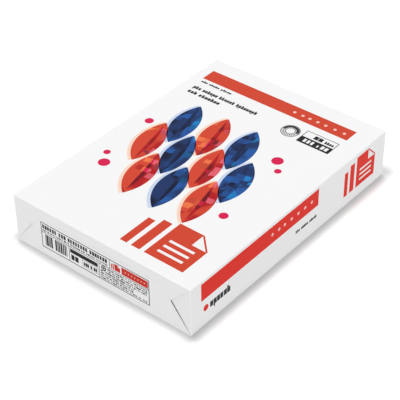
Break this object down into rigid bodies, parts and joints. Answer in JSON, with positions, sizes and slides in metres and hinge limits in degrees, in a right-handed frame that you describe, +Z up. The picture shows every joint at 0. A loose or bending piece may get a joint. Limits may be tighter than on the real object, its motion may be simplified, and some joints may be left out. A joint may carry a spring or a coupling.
{
  "type": "ream of paper",
  "caption": "Sealed ream of A4 office paper in a printed white wrapper, with folded envelope ends and a seam underneath.",
  "frame": {"origin": "middle of the underside, at the lowest point of the pack", "axes": "+X across the sheets' width towards the printed long side, +Y along the sheets' length towards the head of the print, +Z up"},
  "size_m": [0.211, 0.2994, 0.0523],
  "materials": {
    "wrapper": "smooth coated white wrapper paper with printed fields of colour"
  },
  "bodies": {
    "root": {"wrapped_ream": "wrapper"}
  },
  "joints": []
}
